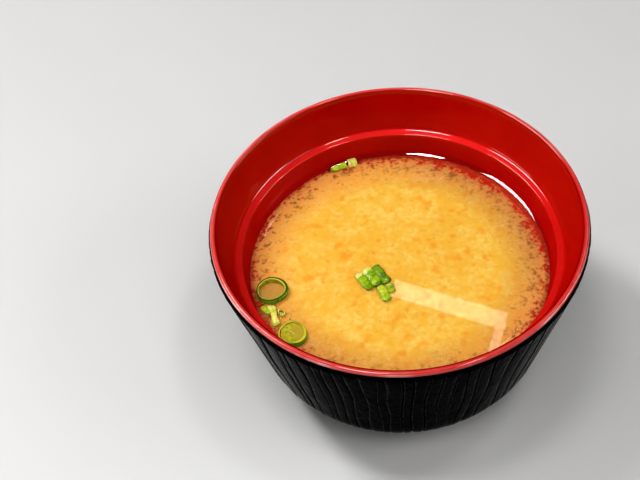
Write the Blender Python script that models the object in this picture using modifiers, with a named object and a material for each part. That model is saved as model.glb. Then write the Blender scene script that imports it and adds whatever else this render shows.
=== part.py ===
"""Miso soup in a lacquered bowl, with slices of scallion.

The bowl is one solid: a flared wall that is carved with upright flutes outside, a lip, a ledge
inside the mouth for a lid to sit on, and a plain foot ring. The soup fills it to a level below the
ledge, and each slice of scallion lies in a pocket of its own in the soup.

Blender units are metres. The origin is on the table under the middle of the foot, and +Z is up.
"""

import math
import random

import bmesh
import bpy
from mathutils import Matrix, Vector

MM = 0.001

# Driving dimensions, in millimetres
HEIGHT = 65.0
LIP_RADIUS = 57.5            # outside of the lip
LIP_INNER_RADIUS = 55.6
SHOULDER_RADIUS = 58.2       # widest place, just under the lip
SHOULDER_DROP = 3.4          # from the lip's top down to the shoulder
HIP_RADIUS = 48.6            # where the wall starts to turn under
HIP_DROP = 45.0
FOOT_JOINT_RADIUS = 30.0
FOOT_HEIGHT = 7.0
FOOT_RADIUS = 28.8
FOOT_INNER_RADIUS = 25.8
FOOT_RECESS = 3.5

LEDGE_RADIUS = 51.5          # outer edge of the lid ledge
LEDGE_DROP = 13.96
LEDGE_EDGE_RADIUS = 49.3     # sharp inner edge of the lid ledge
LEDGE_EDGE_DROP = 15.35
SOUP_DROP = 22.8             # from the lip's top down to the soup
SOUP_WALL_RADIUS = 47.93     # inside of the bowl at the soup's level
INNER_HIP_RADIUS = 44.4
INNER_HIP_HEIGHT = 24.5
FLOOR_ROUND = 11.5           # radius of the turn between the inner wall and the floor
FLOOR_HEIGHT = 11.6

FLUTES = 90
FLUTE_DEPTH = 0.5
FLUTE_LEAN = 0.5             # how far a flute may wander sideways, in flute widths
SEED = 7

GAP = 0.3                    # clearance between touching pieces
ROUND_STEPS = 72
FLOOR_CUTS = 4
LEVEL = HEIGHT - SOUP_DROP

# Rings of scallion: name, centre x, centre y, radius x, radius y, wall, sunk, proud, turn in degrees
RINGS = (
    ("scallion_ring_dark", -41.0, -6.5, 4.85, 4.75, 0.75, 1.2, 2.0, 10.0),
    ("scallion_ring_light", -35.75, -23.7, 4.0, 4.7, 0.8, 0.8, 1.5, 12.0),
    ("scallion_curl", -38.55, -15.2, 0.95, 1.25, 0.35, 0.5, 0.8, 20.0),
)

# Curved leaves of scallion: name, centre x, centre y, lift of the middle over the soup, length, width,
# thickness, radius of the curve across, then heading, pitch and roll in degrees
LEAVES = (
    ("scallion_leaf_dark", -6.1, -4.5, 0.55, 7.8, 2.3, 0.7, 2.4, -64.5, 0.0, 14.0),
    ("scallion_leaf_wide", -8.95, -5.5, 0.6, 7.0, 2.8, 0.7, 2.0, -62.5, 0.0, 0.0),
    ("scallion_leaf_left", -11.85, -6.8, 0.5, 6.9, 2.3, 0.7, 2.0, -65.5, 0.0, -12.0),
    ("scallion_leaf_front", -6.1, -12.1, 0.5, 5.7, 2.7, 0.7, 2.2, -73.0, 6.0, 0.0),
    ("scallion_leaf_flake", -3.85, -10.0, 0.2, 3.0, 1.9, 0.4, 2.0, -82.0, 0.0, 8.0),
    ("scallion_scrap", -41.0, -15.9, 0.4, 7.6, 2.2, 0.6, 1.8, -86.0, 0.0, 0.0),
    ("scallion_scrap_flap", -43.6, -13.5, 0.3, 3.2, 1.4, 0.5, 1.8, -62.0, 0.0, -10.0),
    ("scallion_far_green", -14.95, 43.67, 0.75, 5.7, 3.0, 0.7, 2.6, 18.9, 0.0, 38.0),
    ("scallion_far_pale", -9.9, 45.15, 0.85, 3.2, 3.3, 0.7, 3.4, 12.4, 0.0, 40.0),
)
LEAF_CUTS = 5                # across a leaf, for its curve
RING_STEPS = 28

# name: base colour, roughness
FINISHES = {
    "lacquer": ((0.46, 0.006, 0.008, 1.0), 0.18),
    "broth": ((0.83, 0.44, 0.08, 1.0), 0.3),
    "scallion_dark": ((0.09, 0.27, 0.015, 1.0), 0.35),
    "scallion_light": ((0.48, 0.62, 0.09, 1.0), 0.35),
}
LIGHT_PIECES = (
    "scallion_ring_light",
    "scallion_curl",
    "scallion_scrap",
    "scallion_scrap_flap",
    "scallion_far_pale",
)


def empty_scene():
    """Removes what a new file holds."""
    for thing in list(bpy.data.objects):
        bpy.data.objects.remove(thing)


def collection(name):
    """A new collection in the scene."""
    group = bpy.data.collections.new(name)
    bpy.context.scene.collection.children.link(group)
    return group


def finish(name):
    """The Principled material of this name, made once."""
    material = bpy.data.materials.get(name)
    if material is None:
        colour, roughness = FINISHES[name]
        material = bpy.data.materials.new(name)
        material.use_nodes = True
        shader = material.node_tree.nodes["Principled BSDF"]
        shader.inputs["Base Color"].default_value = colour
        shader.inputs["Roughness"].default_value = roughness
        shader.inputs["Metallic"].default_value = 0.0
    return material


def add_object(name, mesh, group, material=None):
    """An object of this mesh in a collection, shaded smooth between its sharp edges."""
    if material is not None:
        mesh.materials.append(finish(material))
    mesh.shade_smooth()
    mesh.set_sharp_from_angle(angle=math.radians(35.0))
    thing = bpy.data.objects.new(name, mesh)
    group.objects.link(thing)
    return thing


def mesh_of(name, shape):
    """Turns a bmesh into a mesh datablock and frees it."""
    mesh = bpy.data.meshes.new(name)
    shape.to_mesh(mesh)
    shape.free()
    return mesh


def as_cutter(thing):
    """Marks an object as a cutter, which is no piece of the model."""
    thing.hide_render = True
    thing.display_type = "WIRE"
    return thing


def cut(thing, cutter):
    """Takes the cutter's shape out of an object."""
    boolean = thing.modifiers.new(cutter.name, "BOOLEAN")
    boolean.operation = "DIFFERENCE"
    boolean.solver = "EXACT"
    boolean.object = cutter


def arc(centre, radius, start, end, pieces):
    """Points (r, z) along an arc, its angles in degrees from +r towards +z."""
    angles = [math.radians(start + (end - start) * i / pieces) for i in range(pieces + 1)]
    return [(centre[0] + radius * math.cos(a), centre[1] + radius * math.sin(a)) for a in angles]


def turned(name, profile, group, material=None):
    """A solid of revolution: a profile of (r, z) from top to bottom under a Screw modifier."""
    shape = bmesh.new()
    points = [shape.verts.new((r * MM, 0.0, z * MM)) for r, z in profile]
    for upper, lower in zip(points, points[1:]):
        shape.edges.new((upper, lower))
    thing = add_object(name, mesh_of(name, shape), group, material)
    screw = thing.modifiers.new("turn", "SCREW")
    screw.steps = ROUND_STEPS
    screw.render_steps = ROUND_STEPS
    screw.use_merge_vertices = True
    screw.merge_threshold = 0.00001
    screw.use_normal_calculate = True
    return thing


def inner_wall():
    """The bowl's inside below the ledge: (r, z) from the ledge's edge down to the floor's middle."""
    turn_centre = (INNER_HIP_RADIUS - FLOOR_ROUND, FLOOR_HEIGHT + FLOOR_ROUND)
    return [
        (LEDGE_EDGE_RADIUS, HEIGHT - LEDGE_EDGE_DROP),
        (SOUP_WALL_RADIUS, LEVEL),
        (INNER_HIP_RADIUS, INNER_HIP_HEIGHT),
        *arc(turn_centre, FLOOR_ROUND, -10.0, -90.0, FLOOR_CUTS),
        (0.0, FLOOR_HEIGHT),
    ]


def outer_wall():
    """The bowl's outside: (r, z) from the lip's outer edge down to the middle of the recess."""
    hip = (HIP_RADIUS, HEIGHT - HIP_DROP)
    turn_radius = hip[1] - FOOT_HEIGHT
    turn_centre = (hip[0] - turn_radius - 0.4, hip[1])
    return [
        (0.0, HEIGHT),
        (LIP_RADIUS - 0.6, HEIGHT),
        (LIP_RADIUS, HEIGHT - 0.6),
        (LIP_RADIUS, HEIGHT - 1.7),
        (SHOULDER_RADIUS, HEIGHT - SHOULDER_DROP),
        (SHOULDER_RADIUS - 0.3, HEIGHT - SHOULDER_DROP - 1.3),
        hip,
        *arc(turn_centre, turn_radius, -24.0, -84.0, 3),
        (FOOT_JOINT_RADIUS, FOOT_HEIGHT - 0.2),
        (FOOT_RADIUS, 0.0),
        (FOOT_INNER_RADIUS, 0.0),
        (FOOT_INNER_RADIUS - 0.5, FOOT_RECESS),
        (0.0, FOOT_RECESS),
    ]


def carve_flutes(shape):
    """Presses the flutes into the outer wall: every other upright line of points is a valley."""
    rng = random.Random(SEED)
    ridge_shift = [rng.uniform(-0.22, 0.22) for _ in range(FLUTES)]
    valley_depth = [FLUTE_DEPTH * rng.uniform(0.6, 1.25) for _ in range(FLUTES)]
    lean = [rng.uniform(-FLUTE_LEAN, FLUTE_LEAN) * 0.4 for _ in range(FLUTES)]
    top = HEIGHT - SHOULDER_DROP - 1.0
    bottom = FOOT_HEIGHT + 1.2
    pitch = math.tau / FLUTES
    for vert in shape.verts:
        radius = math.hypot(vert.co.x, vert.co.y) / MM
        z = vert.co.z / MM
        if not bottom < z < top or radius < FOOT_JOINT_RADIUS + 8.0:
            continue
        angle = math.atan2(vert.co.y, vert.co.x) % math.tau
        line = round(angle / (pitch / 2.0)) % (2 * FLUTES)
        flute = line // 2
        sway = ridge_shift[flute] + lean[flute] * (z - bottom) / (top - bottom)
        angle += sway * pitch * (1.0 if line % 2 == 0 else 0.6)
        if line % 2:
            radius -= valley_depth[flute]
        vert.co.x = radius * MM * math.cos(angle)
        vert.co.y = radius * MM * math.sin(angle)


def make_bowl(group, cutters):
    """The bowl: a fluted outer body less its hollow."""
    shape = bmesh.new()
    points = [shape.verts.new((r * MM, 0.0, z * MM)) for r, z in outer_wall()]
    edges = [shape.edges.new(pair) for pair in zip(points, points[1:])]
    bmesh.ops.spin(
        shape,
        geom=points + edges,
        axis=(0.0, 0.0, 1.0),
        cent=(0.0, 0.0, 0.0),
        angle=math.tau,
        steps=2 * FLUTES,
        use_merge=True,
    )
    bmesh.ops.remove_doubles(shape, verts=shape.verts, dist=0.00001)
    carve_flutes(shape)
    bmesh.ops.recalc_face_normals(shape, faces=shape.faces)
    bowl = add_object("bowl", mesh_of("bowl", shape), group, "lacquer")

    mouth = [
        (0.0, HEIGHT + 4.0),
        (LIP_INNER_RADIUS + 0.6, HEIGHT + 4.0),
        (LIP_INNER_RADIUS + 0.6, HEIGHT),
        (LIP_INNER_RADIUS, HEIGHT - 0.7),
        (LEDGE_RADIUS + 0.35, HEIGHT - LEDGE_DROP + 0.8),
        (LEDGE_RADIUS - 0.3, HEIGHT - LEDGE_DROP),
    ]
    hollow = turned("bowl_hollow", mouth + inner_wall(), cutters)
    cut(bowl, as_cutter(hollow))
    return bowl


def make_soup(group):
    """The soup: what the bowl's inside holds up to the level, clear of the wall by the gap."""
    line = inner_wall()[1:]
    slope = (SOUP_WALL_RADIUS - INNER_HIP_RADIUS) / (LEVEL - INNER_HIP_HEIGHT)
    side = GAP * math.hypot(1.0, slope)
    turn_centre = (INNER_HIP_RADIUS - FLOOR_ROUND, FLOOR_HEIGHT + FLOOR_ROUND)
    profile = [
        (0.0, LEVEL),
        (line[0][0] - side, LEVEL),
        (line[1][0] - side, INNER_HIP_HEIGHT),
        *arc(turn_centre, FLOOR_ROUND - GAP, -10.0, -90.0, FLOOR_CUTS),
        (0.0, FLOOR_HEIGHT + GAP),
    ]
    return turned("soup", profile, group, "broth")


def finish_of(name):
    """Which scallion finish a piece has."""
    return "scallion_light" if name in LIGHT_PIECES else "scallion_dark"


def scallion_ring(spec, group, grow=0.0):
    """A slice across a scallion: a square section turned once, then made oval.

    With grow the ring is larger all round by that much, for the pocket it lies in.
    """
    name, x, y, radius_x, radius_y, wall, sunk, proud, turn = spec
    mean = (radius_x + radius_y) / 2.0
    low, high = LEVEL - sunk - grow, LEVEL + proud + grow
    outer, inner = mean + grow, mean - wall - grow
    shape = bmesh.new()
    corners = ((outer, high), (outer, low), (inner, low), (inner, high))
    points = [shape.verts.new((r * MM, 0.0, z * MM)) for r, z in corners]
    edges = [shape.edges.new((points[i], points[(i + 1) % 4])) for i in range(4)]
    bmesh.ops.spin(
        shape,
        geom=points + edges,
        axis=(0.0, 0.0, 1.0),
        cent=(0.0, 0.0, 0.0),
        angle=math.tau,
        steps=RING_STEPS,
        use_merge=True,
    )
    oval = Matrix.Diagonal((radius_x / mean, radius_y / mean, 1.0, 1.0))
    place = Matrix.Translation((x * MM, y * MM, 0.0)) @ Matrix.Rotation(math.radians(turn), 4, "Z")
    bmesh.ops.transform(shape, matrix=place @ oval, verts=shape.verts)
    bmesh.ops.recalc_face_normals(shape, faces=shape.faces)
    if grow:
        return as_cutter(add_object(name + "_pocket", mesh_of(name, shape), group))
    return add_object(name, mesh_of(name, shape), group, finish_of(name))


def scallion_leaf(spec, group, grow=0.0):
    """A cut length of scallion leaf: a grid bent across its width, with a wall from Solidify."""
    name, x, y, lift, length, width, thick, curve, heading, pitch, roll = spec
    shape = bmesh.new()
    bmesh.ops.create_grid(shape, x_segments=1, y_segments=LEAF_CUTS, size=0.5 * MM)
    for vert in shape.verts:
        along = vert.co.x * (length + 2.0 * grow)
        bend = vert.co.y / MM * (width + 2.0 * grow) / curve
        height = curve * (math.cos(bend) - 1.0) + 0.25 * curve * (1.0 - math.cos(width / 2.0 / curve))
        vert.co = Vector((along, curve * math.sin(bend) * MM, height * MM))
    turn = (
        Matrix.Rotation(math.radians(heading), 4, "Z")
        @ Matrix.Rotation(math.radians(pitch), 4, "Y")
        @ Matrix.Rotation(math.radians(roll), 4, "X")
    )
    place = Matrix.Translation((x * MM, y * MM, (LEVEL + lift) * MM))
    bmesh.ops.transform(shape, matrix=place @ turn, verts=shape.verts)
    mesh = mesh_of(name, shape)
    if grow:
        thing = as_cutter(add_object(name + "_pocket", mesh, group))
    else:
        thing = add_object(name, mesh, group, finish_of(name))
    wall = thing.modifiers.new("wall", "SOLIDIFY")
    wall.thickness = (thick + 2.0 * grow) * MM
    wall.offset = 0.0
    wall.use_even_offset = True
    return thing


def main():
    """Builds the bowl, the soup and the scallions."""
    empty_scene()
    model = collection("miso_soup")
    cutters = collection("cutters")
    make_bowl(model, cutters)
    soup = make_soup(model)
    for spec in RINGS:
        scallion_ring(spec, model)
        cut(soup, scallion_ring(spec, cutters, GAP))
    for spec in LEAVES:
        scallion_leaf(spec, model)
        cut(soup, scallion_leaf(spec, cutters, GAP))


main()
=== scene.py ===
import logging
import math
import random
from dataclasses import dataclass, field
from enum import Enum

import bmesh
import bpy
from mathutils import Matrix, Vector, noise


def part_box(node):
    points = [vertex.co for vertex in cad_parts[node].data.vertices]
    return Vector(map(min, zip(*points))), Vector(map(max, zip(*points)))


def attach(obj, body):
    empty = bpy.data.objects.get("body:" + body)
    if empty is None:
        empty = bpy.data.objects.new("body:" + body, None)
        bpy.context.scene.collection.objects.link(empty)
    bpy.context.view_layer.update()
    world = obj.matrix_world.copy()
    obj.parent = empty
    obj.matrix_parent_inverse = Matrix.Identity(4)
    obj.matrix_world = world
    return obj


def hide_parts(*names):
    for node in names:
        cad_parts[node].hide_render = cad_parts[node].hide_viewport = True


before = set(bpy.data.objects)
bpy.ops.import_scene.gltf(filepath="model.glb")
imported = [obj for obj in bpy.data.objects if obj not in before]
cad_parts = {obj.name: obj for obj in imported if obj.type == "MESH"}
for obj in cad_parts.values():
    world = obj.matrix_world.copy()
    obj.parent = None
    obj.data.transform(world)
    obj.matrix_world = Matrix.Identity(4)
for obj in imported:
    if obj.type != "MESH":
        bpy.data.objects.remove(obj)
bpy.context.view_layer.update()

# Looks of a bowl of miso soup: red and black lacquer, cloudy soup under clear broth, sliced scallion.
# The classes work in millimetres over the table; meshes are written in metres.

MM = 0.001
LOG = logging.getLogger("miso_soup")

# Points of a turned shape that are closer than this are one.
WELD = 0.002 * MM
# How far the soup's edge at the wall lies outside its CAD solid, which stays clear of the bowl.
SOUP_CLEARANCE = 0.306

Point = tuple[float, float]
Triple = tuple[float, float, float]
Quad = tuple[float, float, float, float]
Colour = Triple
Value = "Wire | float"


class Slot(Enum):
    """The record's material slots that a piece may take its finish from."""

    RED = "red_lacquer"
    BLACK = "black_lacquer"
    SOUP = "soup"
    GREEN = "scallion_green"
    PALE = "scallion_pale"


# ---------------------------------------------------------------- shader graphs


class Wire:
    """One output of a shader graph, with Python's arithmetic."""

    def __init__(self, graph: "Graph", socket: bpy.types.NodeSocket) -> None:
        """Keeps the graph and the socket.

        Args:
            graph: the graph that new nodes are added to.
            socket: the output this wire comes from.
        """
        self.graph = graph
        self.socket = socket

    def math(self, operation: str, other: Value) -> "Wire":
        """A Math node on this wire and another value."""
        return self.graph.math(operation, self, other)

    def __add__(self, other: Value) -> "Wire":
        """self + other."""
        return self.math("ADD", other)

    __radd__ = __add__

    def __mul__(self, other: Value) -> "Wire":
        """self * other."""
        return self.math("MULTIPLY", other)

    __rmul__ = __mul__

    def __sub__(self, other: Value) -> "Wire":
        """self - other."""
        return self.math("SUBTRACT", other)

    def __rsub__(self, other: Value) -> "Wire":
        """other - self."""
        return self.graph.math("SUBTRACT", other, self)

    def __truediv__(self, other: Value) -> "Wire":
        """self / other."""
        return self.math("DIVIDE", other)

    def __pow__(self, other: Value) -> "Wire":
        """self ** other."""
        return self.math("POWER", other)

    def ramp(self, low: float, high: float) -> "Wire":
        """A straight ramp from 0 at low to 1 at high, kept between them."""
        return self.graph.math("MULTIPLY", self - low, 1.0 / (high - low), clamp=True)

    def step(self, low: float, high: float) -> "Wire":
        """A smooth step.

        Args:
            low: the value that gives 0.
            high: the value that gives 1; it may be under low.

        Returns:
            0 to 1, eased at both ends.
        """
        if low > high:
            return 1.0 - self.step(high, low)
        inputs = {"Value": self, "From Min": low, "From Max": high}
        node = self.graph.add("ShaderNodeMapRange", {"interpolation_type": "SMOOTHSTEP"}, inputs)
        return self.graph.wire(node, "Result")


class Graph:
    """The node tree of one material."""

    def __init__(self, name: str) -> None:
        """Makes a material with an empty tree.

        Args:
            name: the material's name.
        """
        self.material = bpy.data.materials.new(name)
        self.material.use_nodes = True
        self.tree = self.material.node_tree
        self.tree.nodes.clear()
        self.output = self.tree.nodes.new("ShaderNodeOutputMaterial")

    def add(self, kind: str, settings: dict | None = None, inputs: dict | None = None) -> bpy.types.Node:
        """Adds a node.

        Args:
            kind: the node's type name.
            settings: its properties, set before its sockets.
            inputs: a value, a colour or a wire for each input, by name or number.

        Returns:
            The new node.
        """
        node = self.tree.nodes.new(kind)
        for key, value in (settings or {}).items():
            setattr(node, key, value)
        for key, value in (inputs or {}).items():
            self.feed(node.inputs[key], value)
        return node

    def feed(self, socket: bpy.types.NodeSocket, value: object) -> None:
        """Links a wire to a socket, or sets its value.

        Args:
            socket: the input.
            value: a wire, a number, a vector or a colour of three.
        """
        if isinstance(value, Wire):
            self.tree.links.new(value.socket, socket)
        elif socket.type == "RGBA" and len(value) == 3:
            socket.default_value = (*value, 1.0)
        else:
            socket.default_value = value

    def wire(self, node: bpy.types.Node, output: str | int = 0) -> Wire:
        """A node's output as a wire."""
        return Wire(self, node.outputs[output])

    def math(self, operation: str, *values: Value, clamp: bool = False) -> Wire:
        """A Math node on up to three values."""
        settings = {"operation": operation, "use_clamp": clamp}
        return self.wire(self.add("ShaderNodeMath", settings, dict(enumerate(values))))

    def mix(self, factor: Value, a: object, b: object) -> Wire:
        """Mixes two colours.

        Args:
            factor: how much of b.
            a: a colour or a wire.
            b: a colour or a wire.

        Returns:
            The mixed colour.
        """
        node = self.add("ShaderNodeMix", {"data_type": "RGBA"}, {0: factor, 6: a, 7: b})
        return self.wire(node, 2)

    def place(self) -> Wire:
        """The point on the piece, in metres."""
        return self.wire(self.add("ShaderNodeTexCoord"), "Object")

    def stretched(self, place: Wire, scale: Triple) -> Wire:
        """A place scaled along each axis."""
        node = self.add("ShaderNodeMapping", {"vector_type": "POINT"}, {"Vector": place, "Scale": scale})
        return self.wire(node)

    def shifted(self, place: Wire, by: Triple) -> Wire:
        """A place moved by a constant."""
        return self.wire(self.add("ShaderNodeVectorMath", {"operation": "ADD"}, {0: place, 1: by}))

    def attribute(self, name: str) -> Wire:
        """A number stored on the mesh."""
        node = self.add("ShaderNodeAttribute", {"attribute_name": name, "attribute_type": "GEOMETRY"})
        return self.wire(node, "Fac")

    def height(self, place: Wire) -> Wire:
        """Height of a place over the table, in metres."""
        return self.wire(self.add("ShaderNodeSeparateXYZ", None, {0: place}), "Z")

    def compass(self, place: Wire, reach: float) -> tuple[Wire, Wire]:
        """How far east and how far north a place lies: 1 at the reach, in millimetres."""
        parts = self.add("ShaderNodeSeparateXYZ", None, {0: place})
        return self.wire(parts, "X") / (reach * MM), self.wire(parts, "Y") / (reach * MM)

    def facing(self, **inputs: Wire) -> Wire:
        """How far the surface turns away from the eye, 0 to 1."""
        return self.wire(self.add("ShaderNodeLayerWeight", None, {"Blend": 0.5, **inputs}), "Facing")

    def axis_distance(self, place: Wire) -> Wire:
        """Distance of a place from the bowl's axis, in millimetres."""
        flat = self.stretched(place, (1.0 / MM, 1.0 / MM, 0.0))
        return self.wire(self.add("ShaderNodeVectorMath", {"operation": "LENGTH"}, {0: flat}), "Value")

    def noise(
        self, place: Wire, size: float, detail: float = 2.0, rough: float = 0.5, twist: float = 0.0
    ) -> Wire:
        """Soft noise.

        Args:
            place: where to read it.
            size: the width of its swells in millimetres.
            detail: octaves of finer noise.
            rough: how strong the finer ones are.
            twist: distortion.

        Returns:
            A value round 0.5.
        """
        inputs = {"Vector": place, "Detail": detail, "Roughness": rough, "Distortion": twist}
        inputs["Scale"] = 1.0 / (size * MM)
        return self.wire(self.add("ShaderNodeTexNoise", {"noise_dimensions": "3D"}, inputs), "Fac")

    def cells(self, place: Wire, size: float, smooth: float = 0.6) -> Wire:
        """Distance to the nearest of scattered centres.

        Args:
            place: where to read it.
            size: the mean spacing in millimetres.
            smooth: how soft the borders are.

        Returns:
            0 at a centre, near 1 at a border.
        """
        settings = {"feature": "SMOOTH_F1", "voronoi_dimensions": "3D"}
        inputs = {"Vector": place, "Scale": 1.0 / (size * MM), "Smoothness": smooth}
        return self.wire(self.add("ShaderNodeTexVoronoi", settings, inputs), "Distance")

    def bump(self, height: Wire, depth: float, strength: float) -> Wire:
        """A bumped normal.

        Args:
            height: the relief, 0 to 1.
            depth: what 1 stands for, in millimetres.
            strength: how strongly it shows, 0 to 1.

        Returns:
            The normal.
        """
        inputs = {"Height": height, "Distance": depth * MM, "Strength": strength}
        return self.wire(self.add("ShaderNodeBump", None, inputs), "Normal")

    def principled(self, **sockets: object) -> Wire:
        """A Principled shader; underscores in the names stand for spaces."""
        named = {key.replace("_", " "): value for key, value in sockets.items()}
        return self.wire(self.add("ShaderNodeBsdfPrincipled", None, named), "BSDF")

    def finish(self, shader: Wire) -> bpy.types.Material:
        """Links the shader to the output and returns the material."""
        self.tree.links.new(shader.socket, self.output.inputs["Surface"])
        return self.material


# ---------------------------------------------------------------- finishes


@dataclass(frozen=True)
class RedLacquer:
    """Gloss red lacquer with a faint orange peel; its ledge and lip are painted paler as highlights.

    Lines are distances from the axis in millimetres; the other bands are heights in metres.
    """

    bright: Colour = (0.51, 0.0042, 0.0014)
    deep: Colour = (0.47, 0.0022, 0.0006)
    ledge_highlight: Colour = (0.86, 0.030, 0.026)
    painted_sheen: Colour = (0.82, 0.105, 0.094)
    highlight_lines: Colour = (0.80, 0.44, 0.42)
    wet: Colour = (0.50, 0.003, 0.0015)
    roughness: float = 0.04
    calm: float = 0.3
    reach: float = 50.0
    lip_line: Quad = (55.9, 56.2, 57.3, 57.5)
    top_line: Quad = (56.45, 56.65, 56.8, 57.0)
    edge_line: Point = (57.1, 57.25)
    lip: Point = (0.0640, 0.0645)
    edge: Point = (0.0637, 0.0641)
    ledge: Quad = (0.0499, 0.0502, 0.0508, 0.0512)
    lip_gloss: Point = (0.0632, 0.0638)
    ledge_gloss: Quad = (0.0492, 0.0497, 0.0520, 0.0530)
    waterline: Point = (0.0446, 0.0432)

    def material(self) -> bpy.types.Material:
        """Builds the material.

        Returns:
            The finish of the bowl's inside and lip.
        """
        g = Graph("red_lacquer")
        p = g.place()
        tone = g.noise(p, 16.0, 3.0, 0.55)
        haze = g.noise(p, 5.0, 4.0, 0.6)
        dust = g.noise(p, 0.5, 2.0, 0.7)
        peel = g.noise(p, 2.6, 1.0)
        height = g.height(p)
        away = g.axis_distance(p)
        east, north = g.compass(p, self.reach)
        # Painted highlight: the lip's paler tone and its pale lines are stronger towards the back and the
        # left.
        lit_side = (north - east) * 0.25 + 0.55
        lip = height.step(*self.lip) * self.band(away, *self.lip_line)
        edge = height.step(*self.edge) * away.step(*self.edge_line)
        # Painted highlight lines along the lip's top and its outer edge.
        painted_lip_lines = self.band(away, *self.top_line) * height.step(*self.lip) * 0.5
        painted_lip_lines = painted_lip_lines.math("MAXIMUM", edge) * (0.25 + tone.step(0.45, 0.62) * 0.7) * (0.35 + lit_side * 1.5)
        ledge = self.band(height, *self.ledge)
        wet = height.step(*self.waterline)
        colour = g.mix(tone.step(0.35, 0.65), self.deep, self.bright)
        colour = g.mix(wet, colour, self.wet)
        # Painted highlight: the ledge is painted paler, most towards the back.
        colour = g.mix(ledge * (0.15 + haze * 0.3 + north.ramp(0.0, 1.0) * 0.6), colour, self.ledge_highlight)
        colour = g.mix(lip * (0.10 + haze * 0.5 + lit_side * 0.35), colour, self.painted_sheen)
        colour = g.mix(painted_lip_lines, colour, self.highlight_lines)
        turned = self.band(height, *self.ledge_gloss) + height.step(*self.lip_gloss)
        gloss = (self.calm + turned * (1.0 - self.calm)) * (1.0 - wet)
        shader = g.principled(
            Base_Color=colour,
            Roughness=self.roughness + haze * 0.04 + dust.step(0.6, 0.75) * 0.04 + lip * 0.06,
            Normal=g.bump(peel, 0.008, 0.5),
            IOR=1.5,
            Specular_IOR_Level=0.0,
            Coat_Weight=gloss * (1.0 - g.facing()) ** 1.2,
            Coat_Roughness=0.05,
        )
        return g.finish(shader)

    @staticmethod
    def band(value: Wire, start: float, full: float, waning: float, end: float) -> Wire:
        """A soft band: up from start to full, and down from waning to end."""
        return value.step(start, full) * value.step(end, waning)


@dataclass(frozen=True)
class BlackLacquer:
    """Satin black lacquer over carved wood: fine upright grain streaks, and highlights painted on ridges.
    """

    ink: Colour = (0.0016, 0.0016, 0.0017)
    painted_sheen: Colour = (0.105, 0.103, 0.100)
    roughness: float = 0.3

    def material(self) -> bpy.types.Material:
        """Builds the material.

        Returns:
            The finish of the carved outside.
        """
        g = Graph("black_lacquer")
        p = g.place()
        grain_place = g.stretched(p, (1.0, 1.0, 0.06))
        grain = g.noise(grain_place, 0.62, 3.0, 0.65, 0.3)
        streak = g.noise(grain_place, 1.9, 2.0, 0.5, 0.4)
        ridge = g.attribute("ridge")
        haze = g.noise(p, 7.0, 3.0)
        # Painted highlights: pale lines on the ridges, broken up by the grain, and faint pale streaks along
        # the grain.
        highlight_lines = ridge.step(0.65, 1.0) * grain.step(0.35, 0.65) * 0.65 + grain.step(0.64, 0.80) * 0.08
        normal = g.bump(grain * 0.4 + streak * 0.6, 0.50, 1.0)
        shader = g.principled(
            Base_Color=g.mix(highlight_lines * 0.8, self.ink, self.painted_sheen),
            Roughness=self.roughness + haze * 0.06 + grain * 0.06,
            Normal=normal,
            IOR=1.5,
            Specular_IOR_Level=0.0,
            Coat_Weight=g.facing(Normal=normal) ** 9.0,
            Coat_Roughness=0.20,
        )
        return g.finish(shader)


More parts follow.
